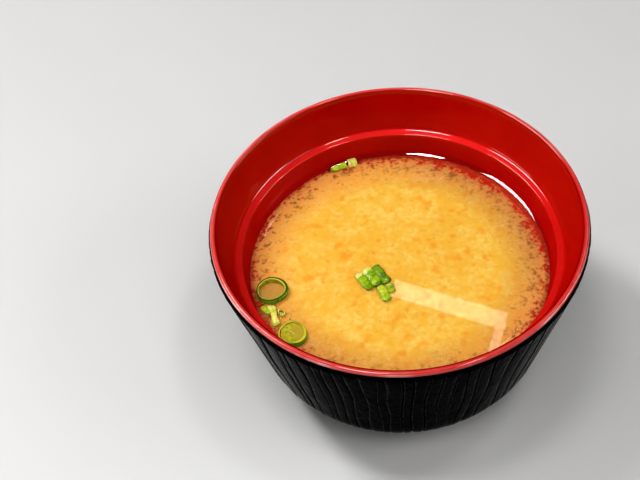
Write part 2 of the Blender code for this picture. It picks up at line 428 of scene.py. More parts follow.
@dataclass(frozen=True)
class MisoCloud:
    """Cloudy miso: soft golden clumps and orange grains, parting into tan tufts over red by the wall.

    Its bands are distances from the axis in millimetres. At the back-left the edge's tan is painted paler,
    as light where the bowl's wall shades the soup.
    """

    pale: Colour = (0.810, 0.645, 0.215)
    body: Colour = (0.788, 0.550, 0.104)
    dull: Colour = (0.760, 0.485, 0.080)
    olive: Colour = (0.600, 0.370, 0.050)
    orange: Colour = (0.780, 0.410, 0.040)
    tan: Colour = (0.610, 0.315, 0.120)
    lit_tan: Colour = (0.800, 0.430, 0.150)
    brown: Colour = (0.390, 0.170, 0.052)
    red: Colour = (0.560, 0.018, 0.007)
    sunken: Colour = (0.520, 0.060, 0.018)
    shaded: Colour = (0.500, 0.280, 0.060)
    shift: Triple = (0.3 * MM, 0.6 * MM, 0.0)
    reach: float = 45.0
    wander: float = 4.0
    oval: float = 1.8
    tanned: Point = (32.0, 45.0)
    browned: Point = (34.0, 43.0)
    reddened: Point = (42.5, 46.8)
    parted: Point = (34.0, 45.0)
    ragged: Point = (45.0, 48.6)
    drowned: Point = (45.2, 48.4)

    def material(self) -> bpy.types.Material:
        """Builds the material.

        Returns:
            The finish of the cloud.
        """
        g = Graph("miso_cloud")
        p = g.place()
        flat = g.stretched(p, (1.0, 1.0, 0.3))
        broad = g.noise(flat, 13.0, 2.0, 0.5)
        clumps = g.noise(flat, 4.2, 3.0, 0.55, 0.4)
        grains = g.cells(flat, 1.9)
        fine = g.noise(flat, 0.9, 2.0, 0.5)
        seeds = g.noise(flat, 3.4, 1.0, 0.4)
        specks = g.noise(g.shifted(flat, (0.3, 0.1, 0.0)), 1.6, 1.0, 0.4)
        tufts = g.noise(flat, 2.7, 1.0, 0.4, 0.2) * 0.38 + g.noise(flat, 1.25, 1.0, 0.4) * 0.40
        tufts = tufts + fine * 0.22
        east, north = g.compass(p, self.reach)
        away = g.axis_distance(g.shifted(p, self.shift)) + (broad - 0.5) * self.wander
        away = away + east * north * self.oval
        # Grows towards the back-left and the front-right: there the edge's tan turns paler and the cloud
        # fuller; at the back-left the paler tan is painted light where the bowl's wall shades the soup.
        denser_and_lit = (north * 0.6 - east * 0.8).ramp(0.1, 0.9)
        denser_and_lit = denser_and_lit.math("MAXIMUM", (east * 0.7 - north * 0.7).ramp(0.72, 1.0) * 0.8)

        tuft = g.mix((clumps * 0.6 + broad * 0.4).step(0.42, 0.60), self.body, self.pale)
        tuft = g.mix(grains.step(0.2, 0.9) * 0.5 + fine.step(0.4, 0.8) * 0.25, tuft, self.dull)
        tuft = g.mix(specks.step(0.60, 0.80) * (0.35 - denser_and_lit * 0.15), tuft, self.olive)
        tuft = g.mix(seeds.step(0.54, 0.78) * 0.75, tuft, self.orange)
        tuft = g.mix(away.ramp(*self.tanned) * (0.3 + fine * 1.3), tuft, g.mix(denser_and_lit, self.tan, self.lit_tan))
        gap = g.mix(away.ramp(*self.browned), self.dull, self.brown)
        gap = g.mix(away.step(*self.reddened), gap, self.red)
        limit = 0.24 + away.ramp(*self.parted) * 0.20 + away.ramp(*self.ragged) * 0.28
        grown = (tufts - 0.5) * 2.1 + 0.5 - limit + denser_and_lit * 0.06
        colour = g.mix(grown.step(-0.20, 0.18), gap, tuft)
        colour = g.mix(away.step(*self.drowned) * 0.65, colour, self.sunken)
        colour = g.mix(g.attribute("shade") * 0.75, colour, self.shaded)
        relief = clumps * 0.5 + fine * 0.3 - grains * 0.3
        shader = g.principled(
            Base_Color=colour,
            Roughness=0.6,
            Normal=g.bump(relief, 0.2, 0.5),
            IOR=1.33,
            Specular_IOR_Level=0.1,
        )
        return g.finish(shader)


@dataclass(frozen=True)
class ClearBroth:
    """The clear top of the broth: lets the light through, with a mirror's gloss by angle."""

    tint: Colour = (1.0, 0.985, 0.93)
    shine: Colour = (1.0, 1.0, 1.0)
    roughness: float = 0.02
    ior: float = 1.5

    def material(self) -> bpy.types.Material:
        """Builds the material.

        Returns:
            The finish of the film, its skirts and the drops.
        """
        g = Graph("clear_broth")
        ripple = g.bump(g.noise(g.place(), 12.0, 0.0), 0.003, 0.3)
        share = g.add("ShaderNodeFresnel", None, {"IOR": self.ior})
        clear = g.add("ShaderNodeBsdfTransparent", None, {"Color": self.tint})
        inputs = {"Color": self.shine, "Roughness": self.roughness, "Normal": ripple}
        gloss = g.add("ShaderNodeBsdfGlossy", None, inputs)
        nodes = (share, clear, gloss)
        mixed = g.add("ShaderNodeMixShader", None, {i: g.wire(node) for i, node in enumerate(nodes)})
        return g.finish(g.wire(mixed))


@dataclass(frozen=True)
class ScallionFlesh:
    """Wet scallion: a dark line under the skin, mottled green, a paler inside, pale cut ends and fibres."""

    name: str
    line: Colour
    skin: Colour
    middle: Colour
    heart: Colour
    cut: Colour
    pith: Colour = (0.84, 0.78, 0.40)
    roughness: float = 0.30

    def material(self) -> bpy.types.Material:
        """Builds the material.

        Returns:
            The finish, which reads where a point lies from the mesh.
        """
        g = Graph(self.name)
        p = g.place()
        lie = {0: g.attribute("across"), 1: g.attribute("along") * 0.06}
        fibres = g.noise(g.wire(g.add("ShaderNodeCombineXYZ", None, lie)), 190.0, 3.0, 0.65)
        mottle = g.noise(p, 1.3, 2.0, 0.5)
        fine = g.noise(p, 0.35, 2.0, 0.6)
        inward = g.attribute("depth") + (mottle - 0.5) * 0.4
        colour = g.mix(inward.step(0.0, 0.45), self.skin, self.middle)
        colour = g.mix(inward.step(0.5, 1.0), colour, self.heart)
        colour = g.mix(fibres.step(0.5, 0.72) * 0.5, colour, self.heart)
        colour = g.mix(fibres.step(0.48, 0.30) * 0.35, colour, self.line)
        patch = (g.attribute("patch") * 0.7 + mottle.step(0.45, 0.65) * 0.5).step(0.3, 1.1)
        colour = g.mix(patch * 0.7, colour, self.line)
        # The line mark is the dark line under the skin, and also painted shade: a ring's front side and a
        # leaf's fold.
        colour = g.mix((g.attribute("line") + (fine - 0.5) * 0.3).step(0.2, 0.85) * 0.95, colour, self.line)
        cut = g.attribute("cut") + (fine - 0.5) * 0.3
        colour = g.mix(cut.step(0.3, 0.8) * 0.95, colour, self.cut)
        colour = g.mix(cut.step(1.1, 1.6), colour, self.pith)
        relief = fibres * 0.5 + fine * 0.3 + mottle * 0.4
        shader = g.principled(
            Base_Color=colour,
            Roughness=self.roughness + mottle * 0.15,
            Normal=g.bump(relief, 0.10, 0.6),
            IOR=1.45,
            Specular_IOR_Level=0.2,
            Coat_Weight=0.1,
            Coat_Roughness=0.12,
        )
        return g.finish(shader)


@dataclass(frozen=True)
class TableTop:
    """A plain pale tabletop with a faint grain."""

    pale: Colour = (0.70, 0.695, 0.685)
    fade: float = 0.97

    def material(self) -> bpy.types.Material:
        """Builds the material.

        Returns:
            The finish of the table.
        """
        g = Graph("pale_table")
        tone = g.noise(g.place(), 60.0, 3.0)
        colour = g.mix(tone, tuple(part * self.fade for part in self.pale), self.pale)
        return g.finish(g.principled(Base_Color=colour, Roughness=0.55 + tone * 0.1))


# ---------------------------------------------------------------- shapes


def rounded_outline(corners: list[Triple], spacing: float, turn: float) -> list[Point]:
    """A section drawn through corners, each rounded by its own radius.

    Args:
        corners: radius from the axis, height and rounding of each corner, in millimetres.
        spacing: the longest straight step.
        turn: the most degrees that one step of a rounding turns.

    Returns:
        The points of the section.
    """
    bends: list[list[Vector]] = []
    for i, (r, z, rounding) in enumerate(corners):
        here = Vector((r, z))
        if rounding <= 0.0 or i in (0, len(corners) - 1):
            bends.append([here])
            continue
        back = (Vector(corners[i - 1][:2]) - here).normalized()
        ahead = (Vector(corners[i + 1][:2]) - here).normalized()
        half = back.angle(ahead) / 2.0
        centre = here + (back + ahead).normalized() * (rounding / math.sin(half))
        first = here + back * (rounding / math.tan(half)) - centre
        sweep = first.angle_signed(here + ahead * (rounding / math.tan(half)) - centre)
        count = max(1, math.ceil(abs(math.degrees(sweep)) / turn))
        bends.append([centre + Matrix.Rotation(-sweep * k / count, 2) @ first for k in range(count + 1)])
    points: list[Vector] = []
    for bend in bends:
        if points:
            run = bend[0] - points[-1]
            count = max(1, math.ceil(run.length / spacing))
            start = points[-1]
            points.extend(start + run * (k / count) for k in range(1, count))
        points.extend(bend)
    return [(point.x, point.y) for point in points]


def spun(section: list[Point], sectors: int, steps: int, closed: bool = False) -> bmesh.types.BMesh:
    """A body turned about the bowl's axis: one sector is spun, and the rest are its copies.

    Args:
        section: radius and height of each point, in millimetres.
        sectors: equal sectors round the axis.
        steps: divisions of each sector.
        closed: join the section's last point to its first.

    Returns:
        The turned mesh in metres, closed at its poles.
    """
    shape = bmesh.new()
    points = [shape.verts.new((r * MM, 0.0, z * MM)) for r, z in section]
    pairs = list(zip(points, points[1:]))
    if closed:
        pairs.append((points[-1], points[0]))
    edges = [shape.edges.new(pair) for pair in pairs]
    foot, up = (0.0, 0.0, 0.0), (0.0, 0.0, 1.0)
    sweep = math.tau / sectors
    bmesh.ops.spin(shape, geom=points + edges, cent=foot, axis=up, angle=sweep, steps=steps)
    sector = shape.verts[:] + shape.edges[:] + shape.faces[:]
    for index in range(1, sectors):
        copied = bmesh.ops.duplicate(shape, geom=sector)["geom"]
        verts = [item for item in copied if isinstance(item, bmesh.types.BMVert)]
        turn = Matrix.Rotation(math.tau * index / sectors, 3, "Z")
        bmesh.ops.rotate(shape, verts=verts, cent=foot, matrix=turn)
    bmesh.ops.remove_doubles(shape, verts=shape.verts, dist=WELD)
    bmesh.ops.recalc_face_normals(shape, faces=shape.faces)
    return shape


def eased(value: float, low: float, high: float) -> float:
    """A smooth step from 0 at low to 1 at high."""
    t = min(1.0, max(0.0, (value - low) / (high - low)))
    return t * t * (3.0 - 2.0 * t)


def fractal(x: float, y: float, z: float, size: float, octaves: int = 3) -> float:
    """Noise from about -1 to 1 whose swells are size millimetres wide."""
    return noise.fractal(Vector((x / size, y / size, z / size)), 1.0, 2.0, octaves)


def add_piece(
    name: str,
    shape: bmesh.types.BMesh,
    material: bpy.types.Material,
    slot: Slot,
    stands_for: tuple[str, ...],
    sharp: float,
) -> bpy.types.Object:
    """Makes a piece of the part from a finished shape.

    Args:
        name: the piece's name.
        shape: its mesh in metres, which is freed.
        material: its finish.
        slot: the record's slot of that finish.
        stands_for: the CAD nodes it replaces.
        sharp: edges over this many degrees stay sharp.

    Returns:
        The new object.
    """
    mesh = bpy.data.meshes.new(name)
    shape.to_mesh(mesh)
    shape.free()
    mesh.materials.append(material)
    mesh.shade_smooth()
    mesh.set_sharp_from_angle(angle=math.radians(sharp))
    piece = bpy.data.objects.new(name, mesh)
    bpy.context.scene.collection.objects.link(piece)
    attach(piece, "root")
    if stands_for:
        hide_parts(*stands_for)
    triangles = sum(len(face.vertices) - 2 for face in mesh.polygons)
    LOG.info("%s: %d triangles, %s", name, triangles, slot.value)
    return piece


# ---------------------------------------------------------------- the bowl


@dataclass
class Bowl:
    """The lacquered bowl: a red lining with its lip and lid ledge, and a black wall of carved facets.

    Columns are the shares of a facet's width at which its upright lines stand, edges say how far each
    line is a ridge painted with a highlight, and floors how much of the facet's depth it has.
    """

    height: float
    shoulder_radius: float
    level: float
    soup_radius: float
    lip_radius: float = 57.5
    lip_width: float = 1.9
    lip_wrap: float = 1.15
    ledge_radius: float = 51.5
    ledge_drop: float = 13.96
    ledge_edge_radius: float = 49.3
    ledge_edge_drop: float = 14.8
    floor_height: float = 11.6
    floor_radius: float = 41.8
    floor_bend: float = 11.5
    lining: float = 0.8
    shoulder_drop: float = 2.4
    hip_radius: float = 48.6
    hip_drop: float = 45.0
    belly_radius: float = 45.6
    belly_height: float = 6.9
    foot_radius: float = 28.8
    foot_width: float = 3.0
    foot_recess: float = 3.5
    facets: int = 84
    seed: int = 11
    arc_step: float = 9.0
    columns: tuple[float, ...] = (0.0, 0.05, 0.11, 0.3, 0.5, 0.7, 0.89, 0.95)
    edges: tuple[float, ...] = (0.0, 0.3, 1.0, 0.0, 0.0, 0.0, 0.8, 0.2)
    floors: tuple[float, ...] = (1.0, 0.3, 0.03, 0.0, 0.0, 0.03, 0.10, 0.45)
    facet_widths: tuple[float, ...] = (0.7, 0.85, 1.0, 1.0, 1.15, 1.35, 1.6)

    def make_lining(self) -> bpy.types.Object:
        """The red inside, over the lip and a little way down outside, as one closed skin.

        Returns:
            The lining.
        """
        top = self.height
        inner_lip = self.lip_radius - self.lip_width
        bead = self.lip_width * 0.48
        skin = self.lining
        shown = [
            (0.0, self.floor_height, 0.0),
            (self.floor_radius, self.floor_height, self.floor_bend),
            (self.soup_radius, self.level, 6.0),
            (self.ledge_edge_radius, top - self.ledge_edge_drop, 0.5),
            (self.ledge_radius, top - self.ledge_drop, 1.6),
            (inner_lip, top - 0.9, 4.0),
            (inner_lip, top, bead),
            (self.lip_radius, top, bead),
            (self.lip_radius, top - self.lip_wrap, 0.2),
            (self.lip_radius - 0.6, top - self.lip_wrap, 0.0),
        ]
        hidden = [
            (self.ledge_radius + 1.6, top - self.ledge_drop - skin, 0.6),
            (self.ledge_edge_radius + 1.3, top - self.ledge_edge_drop - 1.6 * skin, 0.6),
            (self.soup_radius + skin, self.level, 0.0),
            (self.floor_radius + skin, self.floor_height - skin, self.floor_bend),
            (0.0, self.floor_height - skin, 0.0),
        ]
        shape = spun(rounded_outline(shown + hidden, 2.0, self.arc_step), 16, 16)
        return add_piece("lacquer_lining", shape, RedLacquer().material(), Slot.RED, ("bowl",), 60.0)

    def make_wall(self) -> bpy.types.Object:
        """The black outside with its carved facets and foot ring, closed behind the lining.

        Returns:
            The wall.
        """
        top = self.height
        seam, gap = 0.12, 0.25
        under_lip = top - self.lip_wrap - seam
        skin = self.lining + gap
        foot_inner = self.foot_radius - self.foot_width
        corners = [
            (self.lip_radius - 1.0, under_lip, 0.0),
            (self.lip_radius + 0.1, under_lip, 0.15),
            (self.shoulder_radius, top - self.shoulder_drop, 1.2),
            (self.belly_radius, self.belly_height, 16.0),
            (self.foot_radius + 1.2, self.belly_height, 0.8),
            (self.foot_radius, 0.0, 0.5),
            (foot_inner, 0.0, 0.5),
            (foot_inner - 0.5, self.foot_recess, 0.6),
            (0.0, self.foot_recess, 0.0),
        ]
        hidden = [
            (0.0, self.floor_height - skin),
            (self.floor_radius - 6.0, self.floor_height - skin),
            (self.floor_radius + 2.6, self.floor_height + 6.0),
            (self.soup_radius + skin + 0.2, self.level),
            (self.ledge_edge_radius + 2.0, top - self.ledge_edge_drop - 2.6),
            (self.ledge_radius + 2.3, top - self.ledge_drop - 1.6),
        ]
        outer = rounded_outline(corners, 1.25, self.arc_step)
        shape = spun(outer + hidden, self.facets // 4, 4 * len(self.columns), True)
        self.carve(shape)
        bmesh.ops.recalc_face_normals(shape, faces=shape.faces)
        return add_piece("carved_wall", shape, BlackLacquer().material(), Slot.BLACK, ("bowl",), 38.0)

    def carve(self, shape: bmesh.types.BMesh) -> None:
        """Presses the facets into the wall: each has a floor between two ridges that wander.

        Args:
            shape: the turned wall; its upright lines of points become ridges and floors.
        """
        rng = random.Random(self.seed)
        facets = range(self.facets)
        widths = [rng.choice(self.facet_widths) * rng.uniform(0.9, 1.1) for _ in facets]
        total = sum(widths)
        widths = [width / total * math.tau for width in widths]
        starts = [sum(widths[:i]) for i in facets]
        reach = [min(widths[i], widths[i - 1]) * 0.24 for i in facets]
        ranges = ((22.0, 60.0), (0.0, math.tau), (-1.0, 1.0))
        sway = [tuple(rng.uniform(*ends) for ends in ranges) for _ in facets]
        depth = [rng.uniform(0.25, 0.55) for _ in facets]
        tilt = [rng.uniform(-0.12, 0.12) for _ in facets]
        begin = [rng.uniform(0.0, 0.5) for _ in facets]
        fade = [rng.uniform(10.0, 48.0) if rng.random() < 0.22 else None for _ in facets]
        lines = self.facets * len(self.columns)
        middle = self.height * 0.55
        top = self.height - self.lip_wrap - 0.35

        def border(index: int, z: float) -> float:
            """Where a ridge stands.

            Args:
                index: the ridge; one past the last is the first again, a full turn on.
                z: the height in millimetres.

            Returns:
                Its angle there.
            """
            i = index % self.facets
            wave, phase, lean = sway[i]
            drift = 0.6 * math.sin(z / wave * math.tau + phase) + 0.4 * lean * (z - middle) / middle
            return starts[i] + (math.tau if index >= self.facets else 0.0) + reach[i] * drift

        ridge_layer = shape.verts.layers.float.new("ridge")
        inner = self.foot_radius + 6.0
        for vert in shape.verts:
            radius = math.hypot(vert.co.x, vert.co.y) / MM
            z = vert.co.z / MM
            if radius < inner or z > top + 0.4:
                continue
            wall_here = self.wall_radius(z)
            if z > self.belly_height + 1.0 and radius < wall_here - 3.0:
                continue
            line = round((math.atan2(vert.co.y, vert.co.x) % math.tau) / math.tau * lines) % lines
            f, c = divmod(line, len(self.columns))
            share = self.columns[c]
            angle = border(f, z) * (1.0 - share) + border(f + 1, z) * share
            groove = (f + (share > 0.5)) % self.facets
            floor = self.floors[c] * depth[groove]
            if fade[groove] is not None:
                floor *= eased(z, fade[groove] - 6.0, fade[groove] + 6.0)
            slope = 0.12 + (tilt[f] * (share - 0.5) * 2.0 if c else (tilt[f - 1] - tilt[f]) * 0.2)
            grown = eased(top - z, begin[f], begin[f] + 0.7)
            kept = eased(radius, inner, inner + 7.0)
            swell = 0.06 * fractal(vert.co.x / MM, vert.co.y / MM, z * 0.4, 4.0, 2)
            cut = (floor + slope + swell) * grown * kept
            # The ridge mark says how much of a painted highlight line each line of points carries.
            vert[ridge_layer] = self.edges[c] * grown
            radius -= max(cut, 0.0)
            vert.co.x = radius * MM * math.cos(angle)
            vert.co.y = radius * MM * math.sin(angle)

    def wall_radius(self, z: float) -> float:
        """The outer wall's radius at a height, on its straight flare."""
        low, high = self.height - self.hip_drop, self.height - self.shoulder_drop
        return self.hip_radius + (self.shoulder_radius - self.hip_radius) * ((z - low) / (high - low))


# ---------------------------------------------------------------- the soup


@dataclass
class Soup:
    """The soup: a lumpy cloud of miso under a film of clear broth that climbs the wall a little.

    Slices are the scallion rings that shade the cloud inside them, and how far each lifts it.
    """

    level: float
    radius: float
    cover: float = 0.12
    relief: float = 0.28
    moat: float = 1.4
    moat_depth: float = 0.5
    slices: tuple[tuple[str, float], ...] = (("scallion_ring_dark", 0.4), ("scallion_ring_light", 0.0))
    meniscus: float = 6.2
    contact: float = 36.0
    wall_slope: float = 0.2
    buried: float = 0.25
    flat_edge: float = 0.3
    cloud_depth: float = 6.0
    film_depth: float = 4.2

    def make_cloud(self) -> bpy.types.Object:
        """The opaque cloud: a disc of soft lumps that sinks away from the surface near the wall.

        Returns:
            The cloud.
        """
        rings = 96
        edge = self.radius + self.buried
        under = self.level - self.cloud_depth
        section = [(edge * i / rings, self.level) for i in range(rings + 1)]
        section += [(edge - 0.8, under), (edge * 0.5, under), (0.0, under)]
        shape = spun(section, 24, 20)
        shade = shape.verts.layers.float.new("shade")
        slices = [(*(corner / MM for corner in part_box(node)), lift) for node, lift in self.slices]
        for vert in shape.verts:
            x, y, z = vert.co / MM
            if z < self.level - 1.0:
                continue
            raised = 0.0
            for low, high, lift in slices:
                middle, half = (low + high) / 2.0, (high - low) / 2.0
                away = math.hypot((x - middle.x) / half.x, (y - middle.y) / half.y)
                vert[shade] = max(vert[shade], 1.0 - eased(away, 0.75, 1.08))
                raised += lift * (1.0 - eased(away, 0.84, 0.97))
            radius = math.hypot(x, y)
            lumps = 0.5 + 0.5 * fractal(x, y, 0.0, 2.3, 3)
            swell = 0.5 + 0.5 * fractal(x, y, 7.0, 9.0, 2)
            ragged = radius + 1.3 * fractal(x, y, 3.0, 2.6, 3)
            sunk = self.moat_depth * eased(ragged, self.radius - self.moat, self.radius - 0.2)
            dip = self.relief * (1.0 - 0.6 * lumps - 0.4 * swell)
            vert.co.z = (self.level - self.cover - dip - sunk + raised) * MM
        return add_piece("soup_cloud", shape, MisoCloud().material(), Slot.SOUP, ("soup",), 80.0)

    def make_broth(self) -> bpy.types.Object:
        """The clear film with its meniscus, reaching just into the wall.

        Returns:
            The film.
        """
        bend = self.meniscus
        contact = math.radians(self.contact)
        climb = bend * (1.0 - math.cos(contact))
        start = self.radius + climb * self.wall_slope - bend * math.sin(contact)
        end = math.asin(math.sin(contact) + self.buried / bend)
        wall = start + bend * math.sin(end)
        under = self.level - self.film_depth
        flats, bends = 6, 20
        section = [((start - self.flat_edge) * i / flats, self.level) for i in range(flats + 1)]
        for tilt in (end * i / bends for i in range(bends + 1)):
            section.append((start + bend * math.sin(tilt), self.level + bend * (1.0 - math.cos(tilt))))
        section += [(wall - 1.2, under), (0.0, under)]
        shape = spun(section, 16, 16)
        return add_piece("soup_broth", shape, ClearBroth().material(), Slot.SOUP, ("soup",), 60.0)


# ---------------------------------------------------------------- scallions

RING_FLESH = ScallionFlesh(
    "scallion_ring",
    line=(0.035, 0.105, 0.002),
    skin=(0.240, 0.450, 0.008),
    middle=(0.260, 0.450, 0.010),
    heart=(0.600, 0.620, 0.030),
    cut=(0.540, 0.600, 0.080),
)
LEAF_FLESH = ScallionFlesh(
    "scallion_leaf",
    line=(0.120, 0.250, 0.003),
    skin=(0.390, 0.590, 0.008),
    middle=(0.450, 0.630, 0.014),
    heart=(0.600, 0.700, 0.050),
    cut=(0.800, 0.800, 0.240),
)
DARK_FLESH = ScallionFlesh(
    "scallion_dark",
    line=(0.060, 0.150, 0.002),
    skin=(0.230, 0.400, 0.004),
    middle=(0.290, 0.450, 0.007),
    heart=(0.430, 0.580, 0.022),
    cut=(0.580, 0.640, 0.070),
)
BRIGHT_FLESH = ScallionFlesh(
    "scallion_bright",
    line=(0.230, 0.430, 0.004),
    skin=(0.540, 0.670, 0.035),
    middle=(0.600, 0.700, 0.050),
    heart=(0.700, 0.760, 0.130),
    cut=(0.760, 0.780, 0.170),
)
PALE_FLESH = ScallionFlesh(
    "scallion_pale",
    line=(0.480, 0.570, 0.036),
    skin=(0.780, 0.800, 0.180),
    middle=(0.810, 0.820, 0.220),
    heart=(0.800, 0.810, 0.300),
    cut=(0.820, 0.810, 0.340),
)
YOLK_FLESH = ScallionFlesh(
    "scallion_yellow",
    line=(0.150, 0.290, 0.004),
    skin=(0.440, 0.530, 0.010),
    middle=(0.540, 0.560, 0.016),
    heart=(0.500, 0.390, 0.038),
    cut=(0.620, 0.650, 0.045),
)


@dataclass
class Marks:
    """Where a point lies in a slice, stored on the mesh for its finish."""

    shape: bmesh.types.BMesh
    names: tuple[str, ...] = ("depth", "cut", "line", "patch", "across", "along")
    layers: dict = field(default_factory=dict)

    def __post_init__(self) -> None:
        """Adds the layers."""
        for name in self.names:
            self.layers[name] = self.shape.verts.layers.float.new(name)

    def put(self, vert: bmesh.types.BMVert, **values: float) -> None:
        """Stores values on a point."""
        for name, value in values.items():
            vert[self.layers[name]] = value


@dataclass
class ScallionRing:
    """A slice across a hollow scallion leaf that stands in the soup, open or with skin across it."""

    node: str
    flesh: ScallionFlesh
    slot: Slot
    wall: float
    turn: float
    wobble: float = 0.03
    lean: Point = (0.0, 0.0)
    seed: float = 0.0
    lined: bool = True
    film: float = 0.0
    spread: float = 0.0
    shady: float = 0.0

    def make(self, material: bpy.types.Material) -> bpy.types.Object:
        """Builds the ring in the place of its CAD node.

        Args:
            material: the shared finish.

        Returns:
            The ring.
        """
        low, high = (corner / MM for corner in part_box(self.node))
        centre = (low + high) / 2.0
        half = (high - low) / 2.0
        mean = (half.x + half.y) / 2.0
        wall = self.wall
        rounding = min(wall * 0.3, 0.22)
        corners = [
            (mean - wall * 0.5, high.z, 0.0),
            (mean, high.z, rounding),
            (mean, low.z, rounding),
            (mean - wall, low.z, rounding),
            (mean - wall, high.z, rounding),
            (mean - wall * 0.5, high.z, 0.0),
        ]
        section = rounded_outline(corners, 0.3, 22.0)[:-1]
        shape = spun(section, 8, 12, True)
        marks = Marks(shape)
        for vert in shape.verts:
            x, y, z = vert.co / MM
            radius = math.hypot(x, y)
            angle = math.atan2(y, x)
            inward = (mean - radius) / wall
            top = eased(z, high.z - 0.30, high.z - 0.05)
            outer = 1.0 - eased(inward, 0.45, 0.75)
            swing = 0.5 + 0.5 * math.sin(angle * 2.0 + self.seed * 3.0)
            line = top * outer * (1.0 if self.lined else 0.6 * swing)
            marks.put(
                vert,
                depth=min(inward, 1.0),
                cut=top * (eased(inward, 0.5, 0.8) if self.lined else 0.9 - 0.6 * swing),
                # The line mark also takes painted shade on the ring's outer side towards the front, as much
                # as shady says.
                line=line + 0.8 * self.shady * eased(-math.sin(angle), 0.1, 0.9) * outer,
                patch=0.6 * swing * (1.0 - top) + 0.4 * eased(high.z - z, 0.8, 1.8),
                across=angle * mean / 3.0,
                along=z / 8.0,
            )
            flare = 1.0 + self.spread * (z - high.z) / (high.z - low.z)
            thick = 1.0 + 0.22 * math.sin(angle + self.seed) + 0.15 * fractal(x, y, self.seed, 2.0, 2)
            waves = math.sin(2.0 * angle + self.seed) + 0.5 * math.sin(3.0 * angle + 2.0 * self.seed)
            uneven = 1.0 + self.wobble * waves
            share = (mean - (mean - radius) * thick) * uneven * flare / mean
            vert.co = self.lay(angle, share, z, centre, half) * MM
        if self.film:
            self.add_film(shape, marks, centre, half, high.z)
        return add_piece(self.node + "_slice", shape, material, self.slot, (self.node,), 50.0)

    def lay(self, angle: float, share: float, z: float, centre: Vector, half: Vector) -> Vector:
        """A point of the leaning, oval ring.

        Args:
            angle: where it is round the ring.
            share: its share of the ring's radius.
            z: its height before the ring leans.
            centre: the node's centre.
            half: half of its size.

        Returns:
            The point in millimetres.
        """
        x = math.cos(angle + self.turn) * share * half.x
        y = math.sin(angle + self.turn) * share * half.y
        rise = z + x * self.lean[0] + y * self.lean[1] + 0.06 * fractal(x, y, z, 2.5, 2)
        return Vector((centre.x + x, centre.y + y, rise))

    def add_film(
        self, shape: bmesh.types.BMesh, marks: Marks, centre: Vector, half: Vector, top: float
    ) -> None:
        """Adds the skin across the hole, with a pale thread on it.

        Args:
            shape: the ring's mesh.
            marks: its layers.
            centre: the node's centre.
            half: half of its size.
            top: the ring's top.
        """
        disc = bmesh.ops.create_uvsphere(shape, u_segments=40, v_segments=16, radius=1.0)["verts"]
        for vert in disc:
            x, y, z = vert.co
            share = math.hypot(x, y)
            sag = -0.35 * (1.0 - share * share) + 0.10 * fractal(x * 2.0, y * 2.0, self.seed, 0.7, 2)
            green = eased(fractal(x * 2.0, y * 2.0, self.seed + 4.0, 1.1, 2), 0.0, 0.5)
            marks.put(vert, depth=1.0 - 0.5 * green, patch=green * 0.7, across=x * 2.0, along=y)
            height = top - self.film + sag + z * 0.16
            vert.co = self.lay(math.atan2(y, x), share * 0.9, height, centre, half) * MM
        thread = bmesh.ops.create_uvsphere(shape, u_segments=10, v_segments=30, radius=1.0)["verts"]
        place = Matrix.Rotation(math.radians(-38.0), 3, "Z") @ Matrix.Rotation(math.radians(90.0), 3, "Y")
        width, bow, length = 0.11, 0.35, 1.95
        for vert in thread:
            x, y, z = vert.co
            marks.put(vert, depth=1.0, cut=1.7, across=z)
            bowed = Vector((x * width, y * width + bow * (1.0 - z * z), z * length))
            spot = place @ bowed + Vector((-0.8, 0.4, 0.0))
            vert.co = (Vector((centre.x, centre.y, top - self.film + 0.12)) + spot) * MM


